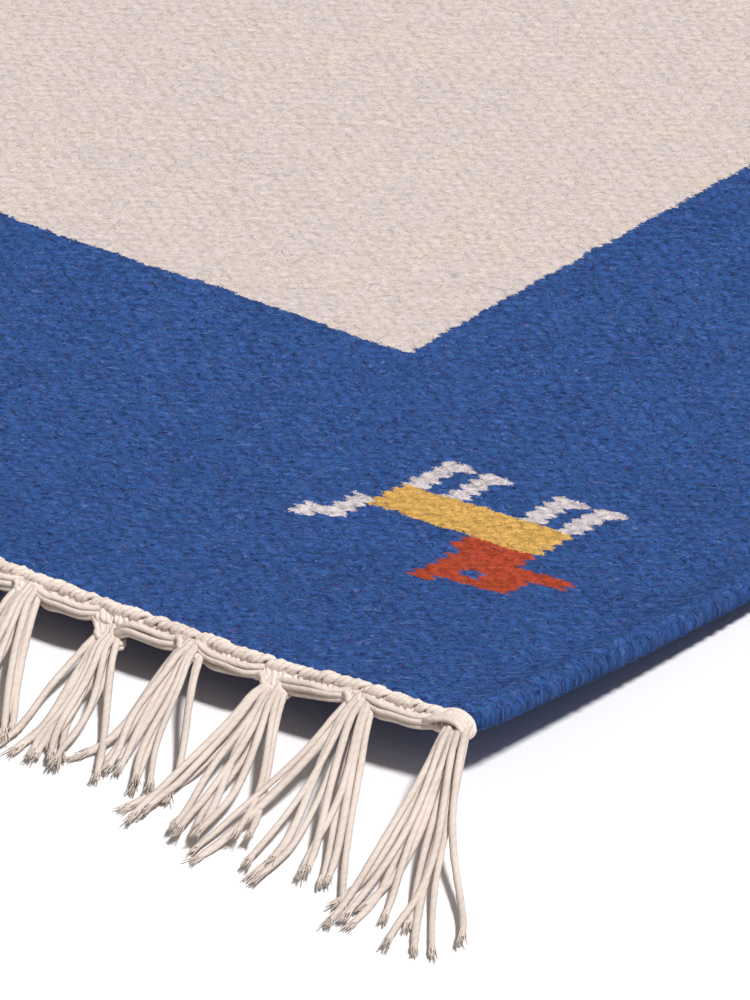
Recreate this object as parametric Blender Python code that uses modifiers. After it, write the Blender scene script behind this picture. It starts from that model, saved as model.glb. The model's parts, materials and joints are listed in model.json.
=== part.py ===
# Kilim rug: one weft-faced woven sheet, with a braided warp heading and a comb of tied tassels at each end.
# Metres, +Z up. X runs across the warps and Y along them; the origin is on the floor under the middle.
import math

import bmesh
import bpy

MM = 0.001

# Cloth
CLOTH_WIDTH = 0.600
CLOTH_LENGTH = 0.900
CLOTH_THICK = 4 * MM
RIM_ROUNDING = 1.2 * MM
CORNER_PULL = 1.5 * MM
COLUMNS = 24
ROWS_FROM_END = (0, 6, 14, 24, 36, 50, 66, 84, 104, 130, 165, 210, 260, 350)   # mm from each end, and one midway
END_FLARE = 0.5 * MM        # each side is this much wider at the ends than along the rest
FLARE_REACH = 0.110

# How high the cloth's underside stands at each end, and how far in from the end it comes down to the floor
FRONT_CURL = 0.104
BACK_CURL = 0.072
CORNER_CURL = 0.220         # the front end comes down this much more slowly along the +X selvedge
CORNER_FROM = 0.150
FRONT_RISE = (      # place across the cloth in mm, rise in mm
    (-300, 6.5),
    (-190, 5.0),
    (-60, 6.8),
    (90, 6.2),
    (200, 7.8),
    (250, 8.6),
    (283, 11.0),
    (300, 11.4),
)
BACK_RISE = (
    (-300, 5.6),
    (-80, 5.0),
    (120, 5.4),
    (300, 5.1),
)

# Braided heading and tassels
PIECE_GAP = 0.3 * MM
HEADING_RADIUS = 2.6 * MM
HEADING_STEPS = 30
TASSELS = 32
CORNER_INSET = 3 * MM
FRINGE_THICK = 2.2 * MM
BRIDGE_TALL = 1.6 * MM
NECK_WIDTH = 6 * MM
TIP_WIDTH = 16 * MM
FLOOR_CLEARANCE = 0.1 * MM
PLAIN_REACH = 38 * MM
PLAIN_LEAN = 20
CORNER_TASSELS = (      # from the shown corner inwards: reach outwards in mm, lean towards that corner in degrees
    (47, 25),
    (43, 20),
    (38, 16),
    (30, 17),
    (31, 20),
    (34, 20),
)
TOOTH_SECTIONS = (      # share of the reach, share of the drop still to go, share of the widening
    (0.07, 0.55, 0.10),
    (0.22, 0.00, 0.30),
    (0.60, 0.00, 0.75),
    (1.00, 0.00, 1.00),
)


def clear_scene():
    for thing in list(bpy.data.objects):
        bpy.data.objects.remove(thing, do_unlink=True)


def make_material(name, colour, roughness):
    material = bpy.data.materials.new(name)
    material.use_nodes = True
    shader = material.node_tree.nodes["Principled BSDF"]
    shader.inputs["Base Color"].default_value = (*colour, 1)
    shader.inputs["Roughness"].default_value = roughness
    shader.inputs["Metallic"].default_value = 0
    return material


def add_object(name, mesh, collection, material):
    thing = bpy.data.objects.new(name, mesh)
    thing.data.materials.append(material)
    collection.objects.link(thing)
    return thing


def eased(table, x):
    """Read a table of (mm, mm) rows at x, with a soft bend at each row."""
    place = x / MM
    for (x0, v0), (x1, v1) in zip(table, table[1:]):
        if place <= x1:
            share = max(0.0, (place - x0) / (x1 - x0))
            return (v0 + (v1 - v0) * (1 - math.cos(math.pi * share)) / 2) * MM
    return table[-1][1] * MM


def side_wander(y, side):
    """How far a selvedge strays from its straight line."""
    flare = max(0.0, 1 - (CLOTH_LENGTH / 2 - abs(y)) / FLARE_REACH) ** 2
    waves = 0.9 * math.sin(y / 0.083 + 0.6 * side) + 0.5 * math.sin(y / 0.031 + 1.9 * side)
    return waves * MM - END_FLARE * (1 - flare)


def end_wander(x, side):
    """How far a woven end strays from its straight line."""
    return 0.7 * math.sin(x / 0.046 + 0.8 * side) * MM


def end_line(x, side):
    return side * CLOTH_LENGTH / 2 + end_wander(x, side)


def front_curl(x):
    """How far in from the front end the cloth comes down to the floor."""
    share = max(0.0, (x - CORNER_FROM) / (CLOTH_WIDTH / 2 - CORNER_FROM))
    return FRONT_CURL + (CORNER_CURL - FRONT_CURL) * min(1.0, share) ** 2


def cloth_rise(x, y):
    """Height of the underside over the floor."""
    front = max(0.0, 1 - (y + CLOTH_LENGTH / 2) / front_curl(x))
    back = max(0.0, 1 - (CLOTH_LENGTH / 2 - y) / BACK_CURL)
    return eased(FRONT_RISE, x) * min(1.0, front) ** 2 + eased(BACK_RISE, x) * min(1.0, back) ** 2


def cloth_top_at_end(x, side):
    return cloth_rise(x, side * CLOTH_LENGTH / 2) + CLOTH_THICK


def woven_panel(collection, material):
    """The sheet's underside as a grid, bent to its lie, then thickened upwards."""
    half_rows = [CLOTH_LENGTH / 2 - row * MM for row in ROWS_FROM_END]
    lines = [-y for y in half_rows] + [0.0] + half_rows[::-1]
    sheet = bmesh.new()
    bmesh.ops.create_grid(sheet, x_segments=COLUMNS, y_segments=len(lines) - 1, size=1)
    for vert in sheet.verts:
        across = vert.co.x
        y = lines[round((vert.co.y + 1) / 2 * (len(lines) - 1))]
        x = across * (CLOTH_WIDTH / 2 + side_wander(y, math.copysign(1, across)))
        height = cloth_rise(x, y)
        along = y / (CLOTH_LENGTH / 2)
        y += abs(along) ** 8 * end_wander(x, math.copysign(1, along))
        if abs(across) > 0.999 and abs(along) > 0.999:
            x -= math.copysign(CORNER_PULL, x)
            y -= math.copysign(CORNER_PULL, y)
        vert.co = (x, y, height)
    mesh = bpy.data.meshes.new("woven_panel")
    sheet.to_mesh(mesh)
    sheet.free()
    panel = add_object("woven_panel", mesh, collection, material)
    thickness = panel.modifiers.new("thickness", "SOLIDIFY")
    thickness.thickness = CLOTH_THICK
    thickness.offset = 1
    rounding = panel.modifiers.new("rim rounding", "BEVEL")
    rounding.width = RIM_ROUNDING
    rounding.segments = 1
    rounding.limit_method = "ANGLE"
    rounding.angle_limit = math.radians(50)


def heading(name, side, collection, material):
    """The braid along a woven end, as a plain round cord that follows the edge."""
    curve = bpy.data.curves.new(name, "CURVE")
    curve.dimensions = "3D"
    curve.bevel_depth = HEADING_RADIUS
    curve.bevel_resolution = 2
    curve.use_fill_caps = True
    line = curve.splines.new("POLY")
    line.points.add(HEADING_STEPS)
    for step, point in enumerate(line.points):
        x = CLOTH_WIDTH * (step / HEADING_STEPS - 0.5)
        y = end_line(x, side) + side * (PIECE_GAP + HEADING_RADIUS)
        point.co = (x, y, cloth_top_at_end(x, side) - HEADING_RADIUS, 1)
    add_object(name, curve, collection, material)


def tassel_sizes(number, side):
    """Reach and lean of a tassel, counted from the +X corner."""
    if side < 0 and number < len(CORNER_TASSELS):
        reach, lean = CORNER_TASSELS[number]
        return reach * MM, math.radians(lean)
    reach = PLAIN_REACH + 3 * MM * math.sin(2.4 * number + side)
    return reach, math.radians(PLAIN_LEAN) * -side


def fringe(name, side, collection, material):
    """One comb: a low bridge under the heading, and a tooth that droops from it to the floor for each tassel."""
    comb = bmesh.new()
    resting = FRINGE_THICK / 2 + FLOOR_CLEARANCE
    span = CLOTH_WIDTH - 2 * CORNER_INSET
    bridge = []
    for number in range(TASSELS):
        middle = CLOTH_WIDTH / 2 - CORNER_INSET - span * number / (TASSELS - 1)
        bridge_top = cloth_top_at_end(middle, side) - 2 * HEADING_RADIUS - PIECE_GAP
        root = end_line(middle, side) + side * (PIECE_GAP + HEADING_RADIUS + FRINGE_THICK / 2)
        start = bridge_top - BRIDGE_TALL
        edges = []
        for x in (middle + NECK_WIDTH / 2, middle - NECK_WIDTH / 2):
            top = comb.verts.new((x, root, bridge_top))
            low = comb.verts.new((x, root + side * BRIDGE_TALL / 3, start))
            bridge.append((top, low))
            edges.append(low)
        reach, lean = tassel_sizes(number, side)
        for out_share, drop_share, widen_share in TOOTH_SECTIONS:
            out = reach * out_share
            width = NECK_WIDTH + (TIP_WIDTH - NECK_WIDTH) * widen_share
            z = resting + max(0.0, start - resting) * drop_share
            centre = middle + out * math.tan(lean)
            y = root + side * (BRIDGE_TALL / 3 + out)
            section = [comb.verts.new((centre + half, y, z)) for half in (width / 2, -width / 2)]
            comb.faces.new((edges[0], edges[1], section[1], section[0]))
            edges = section
    for (top0, low0), (top1, low1) in zip(bridge, bridge[1:]):
        comb.faces.new((top0, top1, low1, low0))
    bmesh.ops.recalc_face_normals(comb, faces=comb.faces)
    mesh = bpy.data.meshes.new(name)
    comb.to_mesh(mesh)
    comb.free()
    thing = add_object(name, mesh, collection, material)
    thickness = thing.modifiers.new("thickness", "SOLIDIFY")
    thickness.thickness = FRINGE_THICK
    thickness.offset = 0
    thickness.use_even_offset = True


def main():
    clear_scene()
    rug = bpy.data.collections.new("kilim_rug")
    bpy.context.scene.collection.children.link(rug)
    wool = make_material("woven_wool", (0.035, 0.085, 0.32), 0.95)
    cotton = make_material("cotton_warp", (0.80, 0.74, 0.66), 0.85)
    woven_panel(rug, wool)
    for name, side in (("front", -1), ("back", 1)):
        heading(f"heading_{name}", side, rug, cotton)
        fringe(f"fringe_{name}", side, rug, cotton)


main()
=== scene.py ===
import json
import math

import bpy
import numpy as np
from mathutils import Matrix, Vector, noise

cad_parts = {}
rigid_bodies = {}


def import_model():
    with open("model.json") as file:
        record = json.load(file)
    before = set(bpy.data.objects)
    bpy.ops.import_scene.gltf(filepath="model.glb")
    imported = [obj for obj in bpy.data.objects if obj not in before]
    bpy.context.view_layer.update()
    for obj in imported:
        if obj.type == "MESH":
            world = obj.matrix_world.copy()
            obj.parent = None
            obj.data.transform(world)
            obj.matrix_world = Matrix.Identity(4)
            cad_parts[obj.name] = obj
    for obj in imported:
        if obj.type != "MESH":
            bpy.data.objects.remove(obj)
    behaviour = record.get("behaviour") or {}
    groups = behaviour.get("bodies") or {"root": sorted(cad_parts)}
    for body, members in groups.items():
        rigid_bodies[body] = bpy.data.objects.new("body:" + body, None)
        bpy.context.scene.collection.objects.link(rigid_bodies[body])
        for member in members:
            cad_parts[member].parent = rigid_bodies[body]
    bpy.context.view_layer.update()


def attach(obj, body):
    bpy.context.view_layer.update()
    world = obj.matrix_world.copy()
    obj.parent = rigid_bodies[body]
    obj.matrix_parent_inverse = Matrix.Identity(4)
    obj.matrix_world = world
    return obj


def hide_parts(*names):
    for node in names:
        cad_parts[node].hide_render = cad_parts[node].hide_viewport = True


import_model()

mm = 0.001

for thing in list(bpy.data.objects):
    if thing.type in {"CAMERA", "LIGHT"}:
        bpy.data.objects.remove(thing)


class Wire:
    # one output socket of a node tree: arithmetic on it adds Math nodes, any other node comes from node()
    def __init__(self, tree, socket=None):
        self.tree = tree
        self.socket = socket

    def node(self, kind, settings=None, inputs=None, output=0):
        made = self.tree.nodes.new(kind)
        for name, value in (settings or {}).items():
            setattr(made, name, value)
        for key, value in (inputs or {}).items():
            if isinstance(value, Wire):
                self.tree.links.new(value.socket, made.inputs[key])
            elif value is not None:
                made.inputs[key].default_value = value
        return Wire(self.tree, made.outputs[output])

    def also(self, output):
        return Wire(self.tree, self.socket.node.outputs[output])

    def math(self, operation, *others):
        terms = dict(enumerate((self, *others)))
        return self.node("ShaderNodeMath", {"operation": operation}, terms)

    def __add__(self, other):
        return self.math("ADD", other)

    __radd__ = __add__

    def __sub__(self, other):
        return self.math("SUBTRACT", other)

    def __rsub__(self, other):
        return (self * -1) + other

    def __mul__(self, other):
        return self.math("MULTIPLY", other)

    __rmul__ = __mul__

    def __truediv__(self, other):
        return self.math("DIVIDE", other)

    def __gt__(self, other):
        return self.math("GREATER_THAN", other)

    def __lt__(self, other):
        return self.math("LESS_THAN", other)

    def __abs__(self):
        return self.math("ABSOLUTE")

    def floor(self):
        return self.math("FLOOR")

    def nearest(self):
        return self.math("ROUND")

    def clamped(self, low=0.0, high=1.0):
        return self.node("ShaderNodeClamp", None, {"Value": self, "Min": low, "Max": high})

    def between(self, low, high):
        # 0 at low, 1 at high, a straight slope between
        return ((self - low) / (high - low)).clamped()

    def tint(self, under, over):
        # this value picks between two colours
        return self.node("ShaderNodeMix", {"data_type": "RGBA"}, {"Factor": self, 6: under, 7: over}, 2)

    def vary(self, under, over):
        # this value picks between two numbers
        return self * (over - under) + under

    def parts(self):
        # x, y and z of a vector
        split = self.node("ShaderNodeSeparateXYZ", None, {0: self})
        return split, split.also(1), split.also(2)

    def times(self, colour):
        # this colour multiplied by another
        settings = {"data_type": "RGBA", "blend_type": "MULTIPLY"}
        return self.node("ShaderNodeMix", settings, {"Factor": 1.0, 6: self, 7: colour}, 2)

    def scaled(self, factor):
        # this colour made darker or paler
        return self.times(self.node("ShaderNodeCombineColor", None, {0: factor, 1: factor, 2: factor}))

    def noise(self, scale, detail=2.0, roughness=None, output=0):
        # a noise texture read at this place; output 1 is its colour
        inputs = {"Vector": self, "Scale": scale, "Detail": detail, "Roughness": roughness}
        return self.node("ShaderNodeTexNoise", None, inputs, output)

    def attribute(self, name, output):
        return self.node("ShaderNodeAttribute", {"attribute_name": name}, output=output)

    def objectPlace(self):
        return self.node("ShaderNodeTexCoord", output=3)


def newMaterial(name):
    made = bpy.data.materials.new(name)
    made.use_nodes = True
    shader = made.node_tree.nodes["Principled BSDF"]
    return made, Wire(made.node_tree), shader


def plug(shader, **values):
    # sets or links sockets of a shader, named in camelCase
    names = {"baseColor": "Base Color", "roughness": "Roughness", "normal": "Normal",
             "specular": "Specular IOR Level"}
    for name, value in values.items():
        socket = shader.inputs[names[name]]
        if isinstance(value, Wire):
            value.tree.links.new(value.socket, socket)
        else:
            socket.default_value = value


# how the rug lies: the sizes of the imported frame
lie = {
    "width": 0.600, "length": 0.900, "thickness": 4 * mm,
    "endFlare": 0.5 * mm, "flareReach": 0.110,
    "frontCurl": 0.104, "backCurl": 0.072, "cornerCurl": 0.220, "cornerFrom": 0.150,
    # place across the cloth and rise of its underside, both in mm
    "frontRise": ((-300, 6.5), (-190, 5.0), (-60, 6.8), (90, 6.2),
                  (200, 7.8), (250, 8.6), (283, 11.0), (300, 11.4)),
    "backRise": ((-300, 5.6), (-80, 5.0), (120, 5.4), (300, 5.1)),
    # slow waves of an edge: size in mm, metres a radian, shift between the two sides
    "sideWaves": ((0.9, 0.083, 0.6), (0.5, 0.031, 1.9)), "endWave": (0.7, 0.046, 0.8),
}


def eased(table, x):
    places, values = np.array(table, float).T * mm
    step = np.clip(np.searchsorted(places, x) - 1, 0, len(places) - 2)
    share = np.clip((x - places[step]) / (places[step + 1] - places[step]), 0, 1)
    return values[step] + (values[step + 1] - values[step]) * (1 - np.cos(np.pi * share)) / 2


def sideWander(y, side):
    flare = np.clip(1 - (lie["length"] / 2 - np.abs(y)) / lie["flareReach"], 0, 1) ** 2
    waves = sum(size * np.sin(y / length + shift * side) for size, length, shift in lie["sideWaves"])
    return waves * mm - lie["endFlare"] * (1 - flare)


def endWander(x, side):
    size, length, shift = lie["endWave"]
    return size * np.sin(x / length + shift * side) * mm


def endLine(x, side):
    return side * lie["length"] / 2 + endWander(x, side)


def rise(x, y):
    share = np.clip((x - lie["cornerFrom"]) / (lie["width"] / 2 - lie["cornerFrom"]), 0, 1)
    frontReach = lie["frontCurl"] + (lie["cornerCurl"] - lie["frontCurl"]) * share ** 2
    front = np.clip(1 - (y + lie["length"] / 2) / frontReach, 0, 1)
    back = np.clip(1 - (lie["length"] / 2 - y) / lie["backCurl"], 0, 1)
    return eased(lie["frontRise"], x) * front ** 2 + eased(lie["backRise"], x) * back ** 2


def topAtEnd(x, side):
    return rise(x, side * lie["length"] / 2 + 0 * x) + lie["thickness"]


def meshObject(name, verts, faces, material):
    mesh = bpy.data.meshes.new(name)
    mesh.from_pydata([tuple(v) for v in verts], [], [tuple(f) for f in faces])
    mesh.validate()
    mesh.materials.append(material)
    made = bpy.data.objects.new(name, mesh)
    bpy.context.scene.collection.objects.link(made)
    return made


# degrees round from the front and up from the floor, then metres; the sensor is in mm
view = {
    "turn": 38.5, "height": 26.8, "aim": (0.221, -0.379, 0.005), "distance": 1.7, "shownHeight": 0.185,
    "sensor": 36, "clip": (0.05, 100),
}


def makeCamera():
    turn, height = math.radians(view["turn"]), math.radians(view["height"])
    back = Vector((math.sin(turn) * math.cos(height), -math.cos(turn) * math.cos(height), math.sin(height)))
    data = bpy.data.cameras.new("camera")
    data.sensor_width = view["sensor"]
    data.lens = view["sensor"] * view["distance"] / view["shownHeight"]
    data.clip_start, data.clip_end = view["clip"]
    camera = bpy.data.objects.new("camera", data)
    bpy.context.scene.collection.objects.link(camera)
    camera.location = Vector(view["aim"]) + back * view["distance"]
    camera.rotation_mode = "QUATERNION"
    camera.rotation_quaternion = (-back).to_track_quat("-Z", "Y")
    bpy.context.scene.camera = camera
    print("camera placed, lens", round(data.lens, 1))


stage = {
    "floorSize": 60, "floorDrop": 0.1 * mm, "floorRoughness": 0.7, "floorCloud": 3.0,
    "floorTones": ((0.80, 0.788, 0.80, 1), (0.792, 0.78, 0.792, 1)),
    "sky": 0.24, "skyColour": (1.0, 0.95, 0.90, 1),
    "sun": 4.35, "sunSpread": 8, "sunFrom": (0.60, -0.22, 1.0), "sunColour": (1.0, 0.99, 0.985),
}


def makeStage():
    material, wire, shader = newMaterial("paleFloor")
    cloud = wire.objectPlace().noise(stage["floorCloud"])
    plug(shader, baseColor=cloud.tint(*stage["floorTones"]), roughness=stage["floorRoughness"])
    half = stage["floorSize"] / 2
    corners = [(-half, -half, 0), (half, -half, 0), (half, half, 0), (-half, half, 0)]
    floor = meshObject("floor", corners, [(0, 1, 2, 3)], material)
    floor.location.z = -stage["floorDrop"]
    world = bpy.data.worlds.new("softRoom")
    world.use_nodes = True
    background = world.node_tree.nodes["Background"]
    background.inputs["Color"].default_value = stage["skyColour"]
    background.inputs["Strength"].default_value = stage["sky"]
    bpy.context.scene.world = world
    light = bpy.data.lights.new("overheadLight", "SUN")
    light.energy = stage["sun"]
    light.angle = math.radians(stage["sunSpread"])
    light.color = stage["sunColour"]
    lamp = bpy.data.objects.new("overheadLight", light)
    bpy.context.scene.collection.objects.link(lamp)
    lamp.location = stage["sunFrom"]
    lamp.rotation_euler = Vector(stage["sunFrom"]).to_track_quat("Z", "Y").to_euler()
    bpy.context.scene.view_settings.view_transform = "Standard"
    print("floor and lights made")


# warps and single picks in mm, the widths of the plain borders, and how a bead's outline slants
weave = {
    "warpPitch": 2.2, "pickPitch": 1.5, "sideBorder": 113.4, "endBorder": 125,
    "beadAcross": 0.56, "beadAlong": 0.44,
}
yarn = {
    "blue": (0.021, 0.062, 0.208, 1), "cream": (0.563, 0.490, 0.473, 1), "white": (0.55, 0.495, 0.51, 1),
    "yellow": (0.58, 0.345, 0.095, 1), "rust": (0.36, 0.055, 0.025, 1),
    # tones within the blue wool: painted shade for its hollows, a pale tone for its pale fibres, which is
    # partly painted highlight, and greener and redder fibres
    "blueHollowShade": (0.008, 0.020, 0.080, 1), "paleBlue": (0.165, 0.215, 0.420, 1),
    "greenBlue": (0.018, 0.115, 0.275, 1), "redBlue": (0.100, 0.050, 0.160, 1),
    # the undyed wool's colour is multiplied by this where it is yellower
    "warmth": (0.99, 0.975, 0.90, 1),
}
# a small animal in plain blocks, its feet towards the field; columns from the selvedge, picks from the end
beast = {
    "column": 18, "pick": 45, "bodyLong": 18, "bodyTall": 8,
    "legWide": 2, "legTall": 9, "footLong": 1, "footTall": 2,
    "headLong": 9, "headTall": 8, "neckLong": 7, "neckTall": 4, "muzzle": 3, "ear": 2,
    "eye": 2, "eyeIn": 1, "tail": 2,
}


def animalBlocks():
    # yarn, first and last column, first and last pick
    front, back = beast["column"], beast["column"] + beast["bodyLong"]
    spine, belly = beast["pick"], beast["pick"] + beast["bodyTall"]
    chin = spine - beast["neckTall"]
    crown = chin - beast["headTall"]
    face = front - beast["muzzle"]
    nape = face + beast["headLong"]
    eye, tail, wide = beast["eye"], beast["tail"], beast["legWide"]
    eyeFront = front + beast["eyeIn"]
    blocks = [
        ("yellow", front, back, spine, belly),
        ("rust", front, front + beast["neckLong"], chin, spine),
        ("rust", face, nape, crown, chin),
        ("rust", face - beast["muzzle"], face, chin - beast["muzzle"], chin),
        ("rust", nape - beast["ear"], nape, crown - beast["ear"], crown),
        ("blue", eyeFront, eyeFront + eye, crown + eye, crown + 2 * eye),
        ("white", back, back + tail, spine - 3 * tail, spine + tail),
        ("white", back + tail, back + 2 * tail, spine - 4 * tail, spine - 2 * tail),
    ]
    sole = belly + beast["legTall"]
    for leg in (front, front + 2 * wide, back - 3 * wide, back - wide):
        blocks.append(("white", leg, leg + wide, belly, sole))
        blocks.append(("white", leg - beast["footLong"], leg, sole - beast["footTall"], sole))
    return blocks


def beadsAt(x, y):
    # which bead of the weave a place in mm belongs to, and how far it is from the bead's middle
    # beads sit in a brick lattice, one warp and one pick apart
    across, along = x / weave["warpPitch"], y / weave["pickPitch"]
    evenColumn, evenRow = (across / 2).nearest() * 2, (along / 2).nearest() * 2
    oddColumn, oddRow = (across / 2).floor() * 2 + 1, (along / 2).floor() * 2 + 1
    away = abs(across - evenColumn) * weave["beadAcross"] + abs(along - evenRow) * weave["beadAlong"]
    even = away < 0.5
    column = even.vary(oddColumn, evenColumn)
    row = even.vary(oddRow, evenRow)
    return column, row, across - column, along - row


def designAt(column, along):
    # the colour of the design at a bead's column and a place along the warps in picks
    fromSelvedge = lie["width"] / 2 / mm / weave["warpPitch"] - abs(column)
    fromEnd = lie["length"] / 2 / mm / weave["pickPitch"] - abs(along)
    pastSide = fromSelvedge > weave["sideBorder"] / weave["warpPitch"]
    inField = pastSide * (fromEnd > weave["endBorder"] / weave["pickPitch"])
    colour = inField.tint(yarn["blue"], yarn["cream"])
    for name, firstColumn, lastColumn, firstPick, lastPick in animalBlocks():
        inColumns = (fromSelvedge > firstColumn) * (fromSelvedge < lastColumn)
        inPicks = (fromEnd > firstPick) * (fromEnd < lastPick)
        colour = (inColumns * inPicks).tint(colour, yarn[name])
    return colour, inField


# lengths in mm; limits are where a noise begins to count and where it counts in full
wool = {
    # fibres that lie three ways: degrees, length, thickness, and detail of their noise
    "nap": (38, 2.6, 0.36, 3.0), "crossed": (14, 2.6, 0.30, 2.0), "risen": (68, 2.2, 0.30, 2.0),
    "grain": 0.6, "curlScale": 0.45, "curlReach": (4, 4, 0), "featherX": 2.6, "featherY": 2.2,
    # how the edges of the design wander: scale of a noise and its reach
    "wander": ((0.62, 0.9), (0.11, 1.2), (2.6, 0.8)), "toothShare": 0.55, "beadRound": 0.9,
    "speckSize": 0.72, "mottleSize": 1.9, "tintSize": 1.5, "cloudScale": 0.06, "patchScale": 0.2,
    # weights in the tone of luck by bead, specks, mottle, nap, clouds and the bead's pillow, which is painted
    # shade: lighter over a bead's rounded top
    "shades": (0.22, 1.7, 1.6, 1.2, 0.5, 0.22), "tone": 0.95, "toneLimits": (0.1, 3),
    # on the animal, the field and the border: the tone's spread, the share of painted shade in the hollows,
    # and the share of pale fibres, which is partly painted highlight
    "contrast": (0.55, 0.24, 1.0), "hollowShadeShare": (0.6, 0.32, 0.80), "paleShare": (0.30, 0.30, 0.62),
    # where the painted shade in the hollows begins and is full, and how dark it paints them; how much lighter
    # the pale fibres are painted
    "hollowShadeLimits": (0.47, 0.37), "hollowShadeTone": 0.5, "fibreHighlightScale": 1.18,
    # weights of specks and mottle in the painted shade of the hollows, and of clouds and patches in the
    # yellower wool
    "hollowShadeWeights": (0.6, 0.4), "warmWeights": (0.4, 0.6),
    # pale fibres, partly their own paler wool and partly painted highlight: limits, and weight of those along
    # the nap, crossed and risen
    "paleNap": (0.57, 0.71), "paleCrossed": (0.57, 0.67), "paleRisen": (0.59, 0.69),
    "paleWeights": (0.45, 0.55, 0.55),
    "greenLimits": (0.60, 0.72), "greenShare": 0.5, "redLimits": (0.70, 0.80), "redShare": 0.45,
    "warmLimits": (0.46, 0.58), "warmShare": 0.75,
    # painted shade on the rounded selvedge: from so far in to so far out, and how much darker
    "sideShadeFrom": -2.0, "sideShadeTo": 0.4, "sideShade": 0.28,
    # weights in the height of the bead's pillow, specks, mottle, nap and crossed fibres
    "heights": (0.5, 0.8, 0.8, 0.5, 0.4), "fieldHeight": 0.5, "bump": 0.75, "bumpDepth": 0.7 * mm,
    "mostRedInBlue": 0.1, "roughness": 0.95, "specular": 0.1,
}


def weighted(values, weights):
    return sum(value * weight for value, weight in zip(values, weights))


def fibres(place, way):
    # noise drawn out along a direction, for wool fibres that lie that way
    angle, length, thickness, detail = wool[way]
    scale = (1 / length, 1 / thickness, 1)
    turned = place.node("ShaderNodeMapping", None,
                        {"Vector": place, "Rotation": (0, 0, math.radians(-angle)), "Scale": scale})
    return turned.noise(1.0, detail, wool["grain"])


def woolMaterial():
    material, wire, shader = newMaterial("wovenWool")
    place = wire.attribute("weave", 1)
    curl = place.noise(wool["curlScale"], 1.0, output=1)
    curled = wire.node("ShaderNodeVectorMath", {"operation": "MULTIPLY_ADD"},
                       {0: curl, 1: wool["curlReach"], 2: place})
    nap, crossed, risen = (fibres(curled, way) for way in ("nap", "crossed", "risen"))
    flatX, flatY = place.parts()[:2]
    x = flatX + (crossed - 0.5) * wool["featherX"]
    y = flatY + (nap - 0.5) * wool["featherY"]
    for scale, reach in wool["wander"]:
        swayX, swayY = place.noise(scale, output=1).parts()[:2]
        x = x + (swayX - 0.5) * (2 * reach)
        y = y + (swayY - 0.5) * (2 * reach)
    column, row, dx, dy = beadsAt(x, y)
    colour, inField = designAt(column + dx * (1 - wool["toothShare"]), y / weave["pickPitch"])
    # only the blue has so little red in it
    inBorder = wire.node("ShaderNodeSeparateColor", None, {0: colour}) < wool["mostRedInBlue"]

    def byPart(numbers):
        animal, field, border = numbers
        return inBorder.vary(inField.vary(animal, field), border)

    pillow = (1 - dx * dx).clamped() * (1 - dy * dy * wool["beadRound"]).clamped()
    bead = wire.node("ShaderNodeCombineXYZ", None, {0: column, 1: row})
    luck = wire.node("ShaderNodeTexWhiteNoise", {"noise_dimensions": "2D"}, {"Vector": bead})
    speck = curled.noise(1 / wool["speckSize"], 2.0, wool["grain"])
    mottle = place.noise(1 / wool["mottleSize"], 3.0, wool["grain"])
    cloud = place.noise(wool["cloudScale"], 3.0)
    # the pillow's share paints shade, each bead lighter on its rounded top and darker at its rim
    uneven = (luck - 0.5, speck - 0.5, mottle - 0.5, nap - 0.5, cloud - 0.5, pillow)
    shade = weighted(uneven, wool["shades"]) * byPart(wool["contrast"]) + wool["tone"]
    colour = colour.scaled(shade.clamped(*wool["toneLimits"]))
    # painted shade in the hollows between the fibres
    deep = weighted((speck, mottle), wool["hollowShadeWeights"]).between(*wool["hollowShadeLimits"])
    hollowShade = deep * byPart(wool["hollowShadeShare"])
    colour = hollowShade.tint(colour, inBorder.tint(colour.scaled(wool["hollowShadeTone"]), yarn["blueHollowShade"]))
    # pale fibres on top: partly paler wool, partly painted highlight where the fibres catch the light
    fibreLights = (nap.between(*wool["paleNap"]), crossed.between(*wool["paleCrossed"]),
                   risen.between(*wool["paleRisen"]))
    pale = weighted(fibreLights, wool["paleWeights"]).clamped() * byPart(wool["paleShare"])
    colour = pale.tint(colour, inBorder.tint(colour.scaled(wool["fibreHighlightScale"]), yarn["paleBlue"]))
    # odd fibres: greener and redder ones in the blue wool
    oddX, oddY = curled.noise(1 / wool["tintSize"], 1.0, output=1).parts()[:2]
    greener = oddX.between(*wool["greenLimits"]) * inBorder * wool["greenShare"]
    colour = greener.tint(colour, yarn["greenBlue"])
    redder = oddY.between(*wool["redLimits"]) * inBorder * wool["redShare"]
    colour = redder.tint(colour, yarn["redBlue"])
    # some undyed wool is yellower
    patch = place.noise(wool["patchScale"], 3.0)
    warm = weighted((cloud, patch), wool["warmWeights"]).between(*wool["warmLimits"])
    colour = (warm * inField * wool["warmShare"]).tint(colour, colour.times(yarn["warmth"]))
    # painted shade: the rounded selvedge is made darker, as if turned away from the light
    selvedge = lie["width"] / 2 / mm
    sideShading = abs(flatX).between(selvedge + wool["sideShadeFrom"], selvedge + wool["sideShadeTo"])
    colour = colour.scaled(1 - sideShading * wool["sideShade"])
    relief = weighted((pillow, speck, mottle, nap, crossed), wool["heights"])
    height = relief * inField.vary(1.0, wool["fieldHeight"])
    bump = wire.node("ShaderNodeBump", None,
                     {"Strength": wool["bump"], "Distance": wool["bumpDepth"], "Height": height})
    plug(shader, baseColor=colour, roughness=wool["roughness"], normal=bump, specular=wool["specular"])
    return material


cottonYarn = {
    "dark": (0.47, 0.395, 0.345), "light": (0.605, 0.53, 0.48), "toneLimits": (0.28, 0.60),
    "twistPitch": 4.6 * mm, "fibreScale": 2400, "fibreGrain": 0.6, "cloudScale": 110,
    # weights of clouds, fibres and the ply groove in the tone, where the groove's share is painted shade
    # along the twist, and of the last two in the height
    "toneWeights": (0.55, 0.35, 0.1), "heights": (0.8, 0.35), "grooveLimits": (0, 0.5),
    "bump": 0.5, "bumpDepth": 0.18 * mm, "roughness": 0.9, "specular": 0.12,
}


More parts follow.
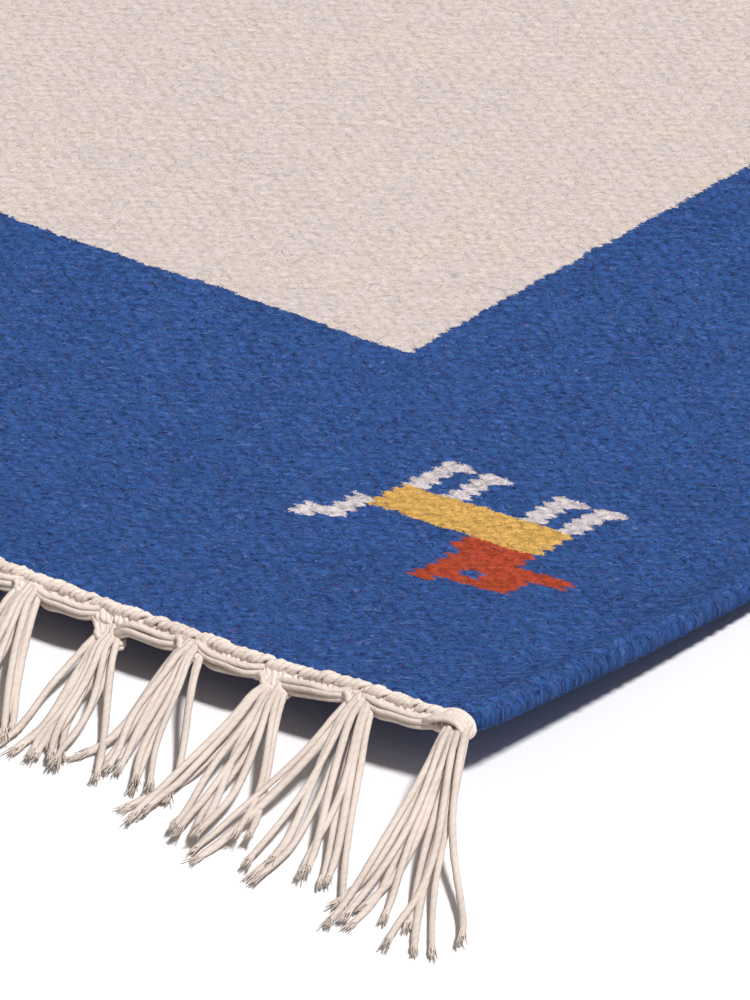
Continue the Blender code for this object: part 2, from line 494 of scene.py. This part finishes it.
def cottonMaterial(name, paintedLight):
    # attributes from the sweep: how far along its yarn a place is, and where round it
    material, wire, shader = newMaterial(name)
    place = wire.objectPlace()
    angle = wire.attribute("run", 2) * (2 * math.pi / cottonYarn["twistPitch"])
    aroundX, aroundY = wire.attribute("around", 1).parts()[:2]
    groove = abs(aroundX * angle.math("COSINE") + aroundY * angle.math("SINE"))
    fine = place.noise(cottonYarn["fibreScale"], 3.0, cottonYarn["fibreGrain"])
    cloud = place.noise(cottonYarn["cloudScale"])
    # the groove term paints shade in stripes along the yarn's twist
    tone = weighted((cloud, fine, groove), cottonYarn["toneWeights"]).between(*cottonYarn["toneLimits"])
    # both tones are scaled alike; above 1 this paints the heading's cotton paler than the fringe's, as
    # painted light
    dark, light = ([part * paintedLight for part in cottonYarn[shade]] + [1] for shade in ("dark", "light"))
    height = weighted((fine, groove.between(*cottonYarn["grooveLimits"])), cottonYarn["heights"])
    bump = wire.node("ShaderNodeBump", None,
                     {"Strength": cottonYarn["bump"], "Distance": cottonYarn["bumpDepth"], "Height": height})
    plug(shader, baseColor=tone.tint(dark, light), roughness=cottonYarn["roughness"], normal=bump,
         specular=cottonYarn["specular"])
    return material


cloth = {
    "rowStep": 1.0 * mm, "innerColumns": 22, "innerEdge": 20 * mm,
    "edgeColumns": (3.0, 4.0, 5.2, 6.6, 8.2, 10.0, 12.2, 15.5),      # mm in from the selvedge
    "rimWidth": 3.0 * mm, "rimSteps": 6, "rimLaidFlat": 3.6 * mm,
    "rollHeight": 0.20, "rollPlace": 3.6 * mm, "rollWidth": 3.0 * mm,
    "creaseDepth": 0.08, "creasePlace": 10 * mm, "creaseWidth": 2.6 * mm,
    # the weft's turns round the selvedge, and how their strength varies
    "turnPitch": 3.0 * mm, "turnBulge": 0.34 * mm, "turnLean": 1.3, "turnFade": 2.6 * mm,
    "turnLeast": 0.55, "turnVaries": 0.9, "turnScale": (260, 0.7, 5),
    # the top's unevenness: scale, share and place in the noise
    "uneven": 0.35 * mm, "unevenLayers": ((24, 1.0, 0.5), (46, 0.5, 4.0)),
    "cornerRound": 6 * mm, "cornerReach": 12 * mm, "endThinning": 0.22, "endThinReach": 1.6 * mm,
    "endWaveFade": 8,
}


def clothSection():
    # one row's loop, from the -X selvedge over the top to the +X one and back underneath:
    # place across, 1 for top, 0 for rim and -1 for underside, and the angle round the rim
    half = lie["width"] / 2
    inner = np.linspace(-1, 1, cloth["innerColumns"] + 1) * (half - cloth["innerEdge"])
    near = half - np.array(cloth["edgeColumns"]) * mm
    across = np.sort(np.concatenate((inner, near, -near)))
    angles = np.linspace(0, math.pi, cloth["rimSteps"] + 2)[1:-1]
    rows = [(x, 1, 0) for x in across]
    rows += [(half, 0, a) for a in angles]
    rows += [(x, -1, 0) for x in across[::-1]]
    rows += [(-half, 0, a) for a in angles[::-1]]
    return np.array(rows)


def bell(distance, width):
    return np.exp(-(distance / width) ** 2)


def thicknessAt(distance):
    # from a roll along the selvedge, over a shallow crease, to the plain thickness
    roll = cloth["rollHeight"] * bell(distance - cloth["rollPlace"], cloth["rollWidth"])
    crease = cloth["creaseDepth"] * bell(distance - cloth["creasePlace"], cloth["creaseWidth"])
    return lie["thickness"] * (1 + roll - crease)


def unevenness(xs, y):
    return cloth["uneven"] * sum(share * np.array([noise.noise((x * scale, y * scale, seed)) for x in xs])
                                 for scale, share, seed in cloth["unevenLayers"])


def clothRow(y, section):
    # the places of one row's loop, bent to the lie, and the same places laid flat in mm
    half, halfLength, rim = lie["width"] / 2, lie["length"] / 2, cloth["rimWidth"]
    place, kind, angle = section.T
    sides = np.where(place < 0, -1.0, 1.0)
    distance = half - np.abs(place)
    isTop, isRim = kind == 1, kind == 0
    out = np.where(isRim, half - rim + rim * np.sin(angle), np.abs(place))
    height = np.where(isTop, thicknessAt(distance), 0)
    height = np.where(isRim, thicknessAt(rim) / 2 * (1 + np.cos(angle)), height)
    # each turn of the weft bulges, and fades out over the top
    turns = np.cos(2 * math.pi * y / cloth["turnPitch"] + cloth["turnLean"] * angle + sides)
    alongScale, roundScale, sideScale = cloth["turnScale"]
    luck = [noise.noise((y * alongScale, a * roundScale, s * sideScale)) for a, s in zip(angle, sides)]
    bulge = cloth["turnBulge"] * turns * (cloth["turnLeast"] + cloth["turnVaries"] * np.array(luck))
    bulge *= np.where(isRim, 1, np.where(isTop, bell(distance - rim, cloth["turnFade"]), 0))
    x = sides * (out + np.where(isRim, bulge * np.sin(angle), 0))
    height += bulge * np.where(isRim, np.cos(angle), isTop)
    x += np.abs(x / half) * sideWander(y, sides) * sides
    fromEnd = halfLength - abs(y)
    corner = cloth["cornerRound"]
    if fromEnd < corner:
        cut = corner - math.sqrt(corner ** 2 - (corner - fromEnd) ** 2)
        x -= sides * cut * np.clip((np.abs(place) - half) / cloth["cornerReach"] + 1, 0, 1)
    height += np.where(isTop, unevenness(x, y), 0)
    height = np.maximum(height, 0) * (1 - cloth["endThinning"] * bell(fromEnd, cloth["endThinReach"]))
    inX = np.clip(x, -half, half)
    level = np.full_like(x, y)
    lift = rise(inX, level)
    slope = (rise(inX, level + mm) - lift) / mm
    along = y + abs(y / halfLength) ** cloth["endWaveFade"] * endWander(x, np.sign(y) or 1.0)
    flat = sides * np.where(isRim, half - rim + cloth["rimLaidFlat"] * np.sin(angle), np.abs(place))
    bent = np.stack((x, along - slope * height, lift + height), axis=1)
    return bent, np.stack((flat / mm, level / mm, np.zeros_like(x)), axis=1)


def makeCloth(material):
    section = clothSection()
    count = len(section)
    ys = np.linspace(-lie["length"] / 2, lie["length"] / 2, round(lie["length"] / cloth["rowStep"]) + 1)
    rows = [clothRow(y, section) for y in ys]
    faces = []
    for row in range(len(ys) - 1):
        here, after = row * count, (row + 1) * count
        for step in range(count):
            turn = (step + 1) % count
            faces.append((here + step, here + turn, after + turn, after + step))
    # each end is closed by a strip of quads from the top to the underside
    last = (len(ys) - 1) * count
    halfRim = cloth["rimSteps"] // 2
    over = [(step - halfRim) % count for step in range(count // 2)]
    under = [(-halfRim - 1 - step) % count for step in range(count // 2)]
    for a, b, c, d in zip(over, over[1:], under[1:], under):
        faces.append((d, c, b, a))
        faces.append((last + a, last + b, last + c, last + d))
    made = meshObject("wovenCloth", np.concatenate([bent for bent, flat in rows]), faces, material)
    laidFlat = np.concatenate([flat for bent, flat in rows])
    made.data.attributes.new("weave", "FLOAT_VECTOR", "POINT").data.foreach_set("vector", laidFlat.ravel())
    made.data.shade_smooth()
    print("cloth woven,", len(made.data.polygons), "faces")
    return made


def newTree(name, sockets):
    tree = bpy.data.node_groups.new(name, "GeometryNodeTree")
    tree.interface.new_socket("Geometry", in_out="INPUT", socket_type="NodeSocketGeometry")
    for label, kind in sockets.items():
        tree.interface.new_socket(label, in_out="INPUT", socket_type="NodeSocket" + kind)
    tree.interface.new_socket("Geometry", in_out="OUTPUT", socket_type="NodeSocketGeometry")
    wire = Wire(tree)
    start = wire.node("NodeGroupInput")
    return tree, wire, {socket.name: Wire(tree, socket) for socket in start.socket.node.outputs}


def endTree(wire, geometry, material):
    real = wire.node("GeometryNodeRealizeInstances", None, {"Geometry": geometry})
    dressed = wire.node("GeometryNodeSetMaterial", None, {"Geometry": real, "Material": material})
    out = wire.tree.nodes.new("NodeGroupOutput")
    wire.tree.links.new(dressed.socket, out.inputs[0])


def runTree(source, tree, settings, name):
    # puts a tree on an object, bakes the result to a plain mesh object and removes the source
    modifier = source.modifiers.new("tree", "NODES")
    modifier.node_group = tree
    for item in tree.interface.items_tree:
        if item.in_out == "INPUT" and item.name in settings:
            modifier[item.identifier] = settings[item.name]
    source.update_tag()
    graph = bpy.context.evaluated_depsgraph_get()
    mesh = bpy.data.meshes.new_from_object(source.evaluated_get(graph), depsgraph=graph)
    mesh.name = name
    made = bpy.data.objects.new(name, mesh)
    bpy.context.scene.collection.objects.link(made)
    bpy.data.objects.remove(source)
    print(name, "made,", len(mesh.polygons), "faces")
    return made


def stored(wire, geometry, name, kind, value):
    # keeps a field as a named attribute
    return wire.node("GeometryNodeStoreNamedAttribute", {"data_type": kind},
                     {"Geometry": geometry, "Name": name, "Value": value})


def makeYarnTree():
    # sweeps a slightly two-lobed round along every path
    tree, wire, given = newTree("twisted yarn", {"Sides": "Int", "Lobe": "Float", "Material": "Material"})
    circle = wire.node("GeometryNodeCurvePrimitiveCircle", None,
                       {"Resolution": given["Sides"], "Radius": 1.0})
    place = wire.node("GeometryNodeInputPosition")
    circle = stored(wire, circle, "around", "FLOAT_VECTOR", place)
    x, y = place.parts()[:2]
    swell = (x * x - y * y) * given["Lobe"] + 1
    lobed = wire.node("ShaderNodeVectorMath", {"operation": "SCALE"}, {0: place, "Scale": swell})
    profile = wire.node("GeometryNodeSetPosition", None, {"Geometry": circle, "Position": lobed})
    length = wire.node("GeometryNodeSplineParameter", output=1)
    path = stored(wire, given["Geometry"], "run", "FLOAT", length)
    radius = wire.node("GeometryNodeInputRadius")
    tube = wire.node("GeometryNodeCurveToMesh", None,
                     {"Curve": path, "Profile Curve": profile, "Fill Caps": True, "Scale": radius})
    endTree(wire, tube, given["Material"])
    return tree


def curveObject(paths):
    # each path is its points and its radii
    data = bpy.data.curves.new("paths", "CURVE")
    data.dimensions = "3D"
    for points, radii in paths:
        spline = data.splines.new("POLY")
        spline.points.add(len(points) - 1)
        spline.points.foreach_set("co", np.c_[points, np.ones(len(points))].ravel())
        spline.points.foreach_set("radius", np.array(np.broadcast_to(radii, len(points)), float))
    made = bpy.data.objects.new("paths", data)
    bpy.context.scene.collection.objects.link(made)
    return made


def smoothPath(marks, step, pieces=12):
    # a Catmull-Rom curve through the marks, with a point about every step
    marks = np.array(marks, float)
    full = np.vstack((2 * marks[0] - marks[1], marks, 2 * marks[-1] - marks[-2]))
    t = np.linspace(0, 1, pieces, endpoint=False)[:, None]
    fine = []
    for before, a, b, after in zip(full, full[1:], full[2:], full[3:]):
        fine.append(0.5 * (2 * a + (b - before) * t + (2 * before - 5 * a + 4 * b - after) * t ** 2
                           + (3 * a - before - 3 * b + after) * t ** 3))
    fine = np.vstack(fine + [marks[-1:]])
    run = np.concatenate(([0], np.cumsum(np.linalg.norm(np.diff(fine, axis=0), axis=1))))
    places = np.linspace(0, run[-1], max(3, round(run[-1] / step) + 1))
    return np.stack([np.interp(places, run, fine[:, axis]) for axis in range(3)], axis=1)


def alongEdge(x, out, down, side):
    # places by an end of the cloth: x, how far out from the end and how far below the cloth's top
    half = lie["width"] / 2
    y = endLine(x, side) + side * np.asarray(out, float)
    z = topAtEnd(np.clip(x, -half, half), side) - np.asarray(down, float)
    return np.stack(np.broadcast_arrays(x, y, z), axis=-1)


def marksAt(middle, side, rows):
    # rows of along, out and down in mm about a tassel's middle; along is the way that the tassels lean
    rows = np.array(rows, float) * mm
    return alongEdge(middle - side * rows[:, 0], rows[:, 1], rows[:, 2], side)


def wanderOf(places, seed, size):
    return size * np.array([noise.noise((place, seed, 0.3)) for place in places])


heading = {
    "plaitStrands": 3, "yarnsPerStrand": 2, "yarnRadius": 0.64 * mm, "yarnSpacing": 0.60 * mm,
    "plaitPitch": 7.2 * mm, "plaitStep": 0.6 * mm, "plaitHalfWidth": 1.75 * mm,
    "plaitHalfThickness": 0.8 * mm, "plaitOut": 1.9 * mm, "plaitDown": 1.35 * mm, "steepness": 60,
    "endGap": 1.5 * mm,
    "coreRadius": 1.2 * mm, "coreIn": 0.5 * mm, "coreDown": 0.5 * mm,
    # how a yarn of the plait wanders: over what length, and by how much
    "sway": (7 * mm, 1.1), "shift": (3 * mm, 0.35), "widens": (4 * mm, 0.30), "rises": (3 * mm, 0.30 * mm),
    "swells": (4 * mm, 0.25),
    "knotRadius": 0.62 * mm, "knotStep": 1.0 * mm, "sides": 7, "paintedLight": 1.14,
    # the knots' yarn, and how much paler the heading's cotton is painted than the fringe's, as painted light
    # strands that gather into a neck: first and last start in mm, count, and how much each varies
    "gathered": (-5.5, 2.5, 8), "gatheredLay": 0.45, "gatheredStart": 0.5, "gatheredSize": (0.8, 1.25),
    "cornerTurns": 4, "cornerTurnGap": 1.05, "cornerTurnLay": 0.3, "cornerTurnStep": 0.8 * mm,
    "neckTurns": 2, "neckTurnGap": 0.85, "neckTurnLay": 0.25,
    # strands that bridge to the next tassel: down at first and last, how far out, and size
    "bridges": ((3.1, 2.9, 0.0, 1.12), (2.0, 2.0, 0.3, 1.12), (0.95, 1.1, 0.1, 1.0), (2.6, 2.7, -1.0, 1.2)),
    "bridgeReach": (14.5, 17.0), "bridgeLay": 0.25, "bridgeStep": 1.3 * mm,
}
fringe = {
    "tassels": 32, "inset": 3 * mm, "strands": 11, "strandRadius": 0.66 * mm, "lobe": 0.06, "sides": 7,
    "step": 2.0 * mm, "neckHalf": 2.3, "neckOut": 3.9, "neckDown": (1.2, 4.0), "seed": 11,
    # tassels that are not listed one by one: reach in mm, leans in degrees, and how much they vary
    "plainReach": 37, "reachVaries": (-4, 5), "plainLean": (2, 31), "leanVaries": 5,
    # each strand: share of the tassel's reach, how far its lean varies, the clumps, size and taper
    "strandReach": (0.84, 1.03), "strandLean": 3.0, "clumpLean": 7, "clumpShare": 0.4,
    "strandSize": (0.82, 1.16), "strandUneven": (0.94, 1.06), "endTaper": (0.85, 0.45), "layers": 3,
    # where a strand comes down on the floor: at most this share of its reach, or so far for its height
    "touchAtMost": 0.92, "touchPerHeight": 2.3, "touchVaries": (2, 12), "droop": 1.25,
    # how a strand bends along its way, and how the layers of strands lie over one another, in mm
    "marks": 9, "bend": (0.8, 2.8), "bendWaves": (2.5, 6.0), "fanOut": 0.15,
    "layerAtNeck": 1.1, "layerOnFloor": 0.5, "floorGap": 0.1,
    # the cut ends' own yarns: how far they spread and reach, in mm where not a share
    "frays": 12, "fraySides": 3, "frayRadius": 0.15 * mm, "frayTaper": (1.2, 1.15, 0.6),
    "fraySize": (0.85, 1.15), "fraySpread": (0.5, 1.5), "frayReach": (0.9, 3.0), "frayStart": 3.2,
    "frayRise": (-0.3, 0.35), "frayMiddleRise": (-0.35, 0.3), "frayEndRise": (-0.5, 0.1),
}
# the tassels listed one by one, from the +X corner inwards: reach in mm, lean of first and last strand in
# degrees, and how far the neck hangs along, out from the end and below the cloth's top in mm
laidTassels = (
    (49, 12, 34, (1.3, 2.4, 1.2)),
    (44, 4, 33, (0.0, 3.8, 2.0)),
    (40, 1, 28, (0.0, 3.9, 3.0)),
    (31, -1, 31, (0.0, 3.9, 1.3)),
    (33, 8, 32, (0.0, 4.2, 4.9)),
    (34, 3, 31, (0.0, 3.9, 1.5)),
)


def tasselMiddles():
    half = lie["width"] / 2 - fringe["inset"]
    return np.linspace(half, -half, fringe["tassels"])


def isCorner(number, side):
    # the tassel at the corner that the others lean to
    return number == (0 if side < 0 else fringe["tassels"] - 1)


def tasselPlan(number, side, rng):
    # reach, lean of first and last strand, and neck
    reach = fringe["plainReach"] + rng.uniform(*fringe["reachVaries"])
    leanLow, leanHigh = fringe["plainLean"] + rng.uniform(-fringe["leanVaries"], fringe["leanVaries"], 2)
    neck = (0.0, fringe["neckOut"], rng.uniform(*fringe["neckDown"]))
    if side < 0 and number < len(laidTassels):
        return laidTassels[number]
    if isCorner(number, side):
        neck = laidTassels[0][3]
    return reach, leanLow, leanHigh, neck


def plaitPaths(side):
    # a plait of three pairs of soft yarns, which stands against the cloth's end
    half = lie["width"] / 2 - heading["endGap"]
    xs = np.arange(-half, half, heading["plaitStep"])
    steep = math.radians(heading["steepness"])

    def wander(kind, seed):
        length, size = heading[kind]
        return wanderOf(xs / length, seed, size)

    paths = []
    for strand in range(heading["plaitStrands"]):
        strandSeed = 10.0 * strand + 3 * side
        sway = wander("sway", strandSeed)
        for yarnNumber in range(heading["yarnsPerStrand"]):
            seed = strandSeed + 40 * yarnNumber
            beside = (yarnNumber - 0.5) * 2 * heading["yarnSpacing"]
            turns = (xs + beside) / heading["plaitPitch"] + strand / heading["plaitStrands"]
            phase = 2 * math.pi * turns + sway + wander("shift", seed)
            wide = heading["plaitHalfWidth"] * (1 + wander("widens", seed + 1)) * np.sin(phase)
            thick = heading["plaitHalfThickness"] * np.sin(2 * phase) + wander("rises", seed + 2)
            out = heading["plaitOut"] + wide * math.cos(steep) + thick * math.sin(steep)
            down = heading["plaitDown"] + wide * math.sin(steep) - thick * math.cos(steep)
            radii = heading["yarnRadius"] * (1 + wander("swells", seed + 4))
            paths.append((alongEdge(xs, out, down, side), radii))
    # the warp ends inside it
    coreOut, coreDown = heading["plaitOut"] - heading["coreIn"], heading["plaitDown"] + heading["coreDown"]
    paths.append((alongEdge(xs[4:-4:2], coreOut, coreDown, side), heading["coreRadius"]))
    return paths


def knotPaths(middle, side, neck, corner, rng):
    # the strands that gather into a tassel's neck, those that turn round it and those that bridge to the next
    along, out, down = neck
    paths = []

    def add(rows, step=heading["knotStep"], size=1.0):
        paths.append((smoothPath(marksAt(middle, side, rows), step), heading["knotRadius"] * size))

    def give(most):
        return rng.uniform(-most, most)

    for start in np.linspace(*heading["gathered"]):
        lay = give(heading["gatheredLay"])
        start += give(heading["gatheredStart"])
        rows = [(start + along - 0.5, 1.9, min(1.8, down) + lay),
                (start * 0.75 + along, out - 0.9 + lay, down * 0.6),
                (start * 0.42 + along + 0.3, out + 0.3 + lay, down - 0.4),
                (start * 0.40 + along + 0.3, out, down + 0.9)]
        add(rows, size=rng.uniform(*heading["gatheredSize"]))
    if corner:      # here the last strands turn over the edge and down round the knot
        for turn in range(heading["cornerTurns"]):
            aside, lay = heading["cornerTurnGap"] * turn, give(heading["cornerTurnLay"])
            add([(along - 7.0, 1.6 + aside * 0.5, 1.6), (along - 4.6, 0.9 + aside, 0.5 + lay),
                 (along - 1.6, 0.6 + aside, -0.35 + lay), (along + 0.9, 0.7 + aside, -0.3 - lay),
                 (along + 2.1 + lay, 1.0 + aside, 0.6), (along + 2.4, 1.3 + aside * 0.9, 1.9),
                 (along + 1.7, 1.8 + aside * 0.7, 2.9)], heading["cornerTurnStep"])
        return paths
    for turn in range(heading["neckTurns"]):
        low = down + heading["neckTurnGap"] * turn + give(heading["neckTurnLay"])
        add([(along - 2.2, out - 1.4, low - 0.6), (along - 2.7, out + 0.1, low - 0.5),
             (along - 1.5, out + 1.4, low - 0.3), (along + 0.4, out + 1.7, low),
             (along + 2.2, out + 1.1, low + 0.4), (along + 2.9, out - 0.2, low + 0.5),
             (along + 2.0, out - 1.5, low + 0.2)])
    reach = rng.uniform(*heading["bridgeReach"])
    for first, last, near, size in heading["bridges"]:
        lay = rng.uniform(-heading["bridgeLay"], heading["bridgeLay"], 3)
        add([(along + 0.8, out - 0.6 + near, down + (first - 2.6) * 0.7),
             (4.2, 4.0 + near, first + lay[0]),
             (reach * 0.5, 4.0 + near, first - 0.1 + lay[1]),
             (reach * 0.78, 3.6 + near, last + lay[2]),
             (reach, 2.4 + near * 0.5, last - 0.3)], heading["bridgeStep"], size)
    return paths


def makeHeading(name, side, plans, yarnTree, material):
    rng = np.random.default_rng(fringe["seed"] + 3 * side)
    paths = plaitPaths(side)
    for number, (middle, plan) in enumerate(zip(tasselMiddles(), plans)):
        paths += knotPaths(middle, side, plan[3], isCorner(number, side), rng)
    settings = {"Sides": heading["sides"], "Lobe": fringe["lobe"], "Material": material}
    made = runTree(curveObject(paths), yarnTree, settings, name)
    made.data.shade_smooth()
    return made


def strandPath(middle, side, neck, spot, reach, lean, centreLean, rng):
    # one strand of a tassel, from its neck down to the floor and along it; spot is across and layer
    across, layer = spot
    neckAlong, neckOut, neckDown = neck
    top = float(topAtEnd(middle, side)) / mm
    stand = top - neckDown
    low = fringe["strandRadius"] / mm * (1 + fringe["lobe"]) + fringe["floorGap"]
    landing = fringe["touchPerHeight"] * stand + rng.uniform(*fringe["touchVaries"])
    touch = min(fringe["touchAtMost"] * reach, landing)
    bend, phase, waves = rng.uniform(*fringe["bend"]), rng.uniform(0, 6.3), rng.uniform(*fringe["bendWaves"])
    rows = [(neckAlong + across * 0.8, neckOut - 0.8, neckDown - 1.0),
            (neckAlong + across, neckOut + 0.5 * layer, neckDown + 0.3 - 0.3 * layer)]
    centreSlant = math.tan(centreLean)
    for part in np.linspace(0, 1, fringe["marks"])[1:]:
        out = reach * part
        slant = centreSlant + (math.tan(lean) - centreSlant) * part ** fringe["fanOut"]
        along = out * slant + bend * (math.sin(phase + part * waves) - math.sin(phase)) * part
        stack = fringe["layerAtNeck"] * layer * (1 - part) ** 1.2 + fringe["layerOnFloor"] * layer * part
        lift = low + stack + max(0, stand - low) * max(0, 1 - out / touch) ** fringe["droop"]
        rows.append((neckAlong + across + along, neckOut + 0.5 * layer * (1 - part) + out, top - lift))
    points = smoothPath(marksAt(middle, side, rows), fringe["step"])
    points[:, 2] = np.maximum(points[:, 2], low * mm)
    return points


def frayPaths(points, rng):
    # the strand's own yarns, opened out into a soft brush at its cut end
    tip, ahead = points[-1], points[-1] - points[-2]
    ahead = ahead / np.linalg.norm(ahead)
    aside = np.array((-ahead[1], ahead[0], 0))
    radius = fringe["frayRadius"]
    taper = np.array(fringe["frayTaper"])

    def up(limits):
        return np.array((0, 0, rng.uniform(*limits))) * mm

    paths = []
    for spot in np.linspace(-0.5, 0.5, fringe["frays"]):
        spread = spot * rng.uniform(*fringe["fraySpread"])
        reach = rng.uniform(*fringe["frayReach"]) * mm
        start = tip - ahead * fringe["frayStart"] * mm + aside * spot * 0.7 * mm + up(fringe["frayRise"])
        middle = tip + aside * (spot + spread * 0.3) * mm + up(fringe["frayMiddleRise"])
        end = tip + ahead * reach + aside * spread * reach * 0.8 + up(fringe["frayEndRise"])
        bits = np.array((start, middle, end))
        bits[:, 2] = np.maximum(bits[:, 2], radius + 0.05 * mm)
        paths.append((bits, radius * taper * rng.uniform(*fringe["fraySize"])))
    return paths


def makeFringe(name, side, plans, yarnTree, material):
    rng = np.random.default_rng(fringe["seed"] + side)
    count, half, clump = fringe["strands"], fringe["neckHalf"], fringe["clumpLean"]
    strands, frays = [], []
    for middle, (reach, leanLow, leanHigh, neck) in zip(tasselMiddles(), plans):
        leans = np.linspace(leanLow, leanHigh, count)
        clumped = np.round(leans / clump) * clump
        leans = clumped * fringe["clumpShare"] + leans * (1 - fringe["clumpShare"])
        layers = rng.permutation(count) % fringe["layers"]
        centre = math.radians((leanLow + leanHigh) / 2)
        for across, lean, layer in zip(np.linspace(-half, half, count), leans, layers):
            ownReach = reach * rng.uniform(*fringe["strandReach"])
            ownLean = math.radians(lean + rng.uniform(-fringe["strandLean"], fringe["strandLean"]))
            points = strandPath(middle, side, neck, (across, layer), ownReach, ownLean, centre, rng)
            size = fringe["strandRadius"] * rng.uniform(*fringe["strandSize"])
            radii = size * rng.uniform(*fringe["strandUneven"], len(points))
            radii[-2:] *= fringe["endTaper"]
            strands.append((points, radii))
            frays += frayPaths(points, rng)
    parts = []
    for paths, sides, lobe in ((strands, fringe["sides"], fringe["lobe"]), (frays, fringe["fraySides"], 0.0)):
        settings = {"Sides": sides, "Lobe": lobe, "Material": material}
        parts.append(runTree(curveObject(paths), yarnTree, settings, name))
    with bpy.context.temp_override(active_object=parts[0], selected_editable_objects=parts, object=parts[0]):
        bpy.ops.object.join()
    made = parts[0]
    made.name = made.data.name = name
    made.data.shade_smooth()
    return made


hairs = {
    "perSquareMetre": 13000, "length": 3.4 * mm, "radius": 0.033 * mm, "seed": 5, "sizes": (0.5, 1.35),
    # two kinds of hair: how far each bends aside and arches, as shares of its length
    "kinds": ((0.26, 0.20), (-0.20, 0.10)), "tipShare": 0.35, "root": 0.1 * mm, "facingUp": 0.6,
    # colours mixed into each hair's own to make it paler: painted light for the thin hairs
    "onBlue": (0.20, 0.29, 0.56, 1), "onField": (0.80, 0.72, 0.69, 1), "paleShare": 0.6,
    "roughness": 0.8, "specular": 0.2,
}


def hairMaterial():
    # a stray hair takes the colour of the yarn that it comes from, painted paler as painted light, so the
    # thin hairs don't read as dark in their own shade
    material, wire, shader = newMaterial("strayWoolHair")
    x, y = wire.attribute("weave", 1).parts()[:2]
    colour, inField = designAt(x / weave["warpPitch"], y / weave["pickPitch"])
    paintedPaler = inField.tint(hairs["onBlue"], hairs["onField"])
    mixed = wire.node("ShaderNodeMix", {"data_type": "RGBA"},
                      {"Factor": hairs["paleShare"], 6: colour, 7: paintedPaler}, 2)
    plug(shader, baseColor=mixed, roughness=hairs["roughness"], specular=hairs["specular"])
    return material


def makeHairTree():
    # scatters short bent hairs over the upper faces of a mesh
    sockets = {"Density": "Float", "Hair Length": "Float", "Hair Radius": "Float", "Seed": "Int",
               "Material": "Material"}
    tree, wire, given = newTree("stray hairs", sockets)
    length = given["Hair Length"]
    normalZ = wire.node("GeometryNodeInputNormal").parts()[2]
    points = wire.node("GeometryNodeDistributePointsOnFaces", {"distribute_method": "RANDOM"},
                       {"Mesh": given["Geometry"], "Selection": normalZ > hairs["facingUp"],
                        "Density": given["Density"], "Seed": given["Seed"]})
    circle = wire.node("GeometryNodeCurvePrimitiveCircle", None,
                       {"Resolution": 3, "Radius": given["Hair Radius"]})
    both = tree.nodes.new("GeometryNodeJoinGeometry")
    for bend, arch in hairs["kinds"]:
        middle = wire.node("ShaderNodeCombineXYZ", None,
                           {0: length * 0.5, 1: length * bend, 2: length * arch})
        end = wire.node("ShaderNodeCombineXYZ", None, {0: length, 2: length * arch * hairs["tipShare"]})
        line = wire.node("GeometryNodeCurveQuadraticBezier", None,
                         {"Resolution": 4, "Start": (0, 0, -hairs["root"]), "Middle": middle, "End": end})
        hair = wire.node("GeometryNodeCurveToMesh", None, {"Curve": line, "Profile Curve": circle})
        kind = wire.node("GeometryNodeGeometryToInstance", None, {"Geometry": hair})
        tree.links.new(kind.socket, both.inputs[0])

    def random(low, high, seedShift):
        return wire.node("FunctionNodeRandomValue", {"data_type": "FLOAT"},
                         {2: low, 3: high, "Seed": given["Seed"] + seedShift}, 1)

    yaw = wire.node("ShaderNodeCombineXYZ", None, {2: random(0.0, 2 * math.pi, 3)})
    turn = wire.node("FunctionNodeEulerToRotation", None, {0: yaw})
    rotation = wire.node("FunctionNodeRotateRotation", {"rotation_space": "LOCAL"},
                         {0: points.also(2), 1: turn})
    placed = wire.node("GeometryNodeInstanceOnPoints", None,
                       {"Points": points, "Instance": Wire(tree, both.outputs[0]), "Pick Instance": True,
                        "Rotation": rotation, "Scale": random(*hairs["sizes"], 8)})
    endTree(wire, placed, given["Material"])
    return tree


def makeHairs(source, material):
    # stray wool hairs over the whole upper face and the selvedges
    copied = bpy.data.objects.new("hairGround", source.data.copy())
    bpy.context.scene.collection.objects.link(copied)
    settings = {"Density": hairs["perSquareMetre"], "Hair Length": hairs["length"],
                "Hair Radius": hairs["radius"], "Seed": hairs["seed"], "Material": material}
    return runTree(copied, makeHairTree(), settings, "strayHairs")


makeCamera()
makeStage()
cotton = cottonMaterial("undyedCotton", 1.0)
# the heading's cotton is the fringe's, painted paler as painted light
knottedCottonPaintedLight = cottonMaterial("knottedCottonPaintedLight", heading["paintedLight"])
wovenCloth = makeCloth(woolMaterial())
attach(wovenCloth, "root")
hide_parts("woven_panel")
strayHairs = makeHairs(wovenCloth, hairMaterial())
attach(strayHairs, "root")
yarnTree = makeYarnTree()
ends = []
for place, side in (("Front", -1), ("Back", 1)):
    rng = np.random.default_rng(fringe["seed"] + 5 * side)
    plans = [tasselPlan(number, side, rng) for number in range(fringe["tassels"])]
    plait = makeHeading("heading" + place, side, plans, yarnTree, knottedCottonPaintedLight)
    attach(plait, "root")
    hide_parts("heading_" + place.lower())
    tassels = makeFringe("fringe" + place, side, plans, yarnTree, cotton)
    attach(tassels, "root")
    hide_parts("fringe_" + place.lower())
    ends += [plait, tassels]
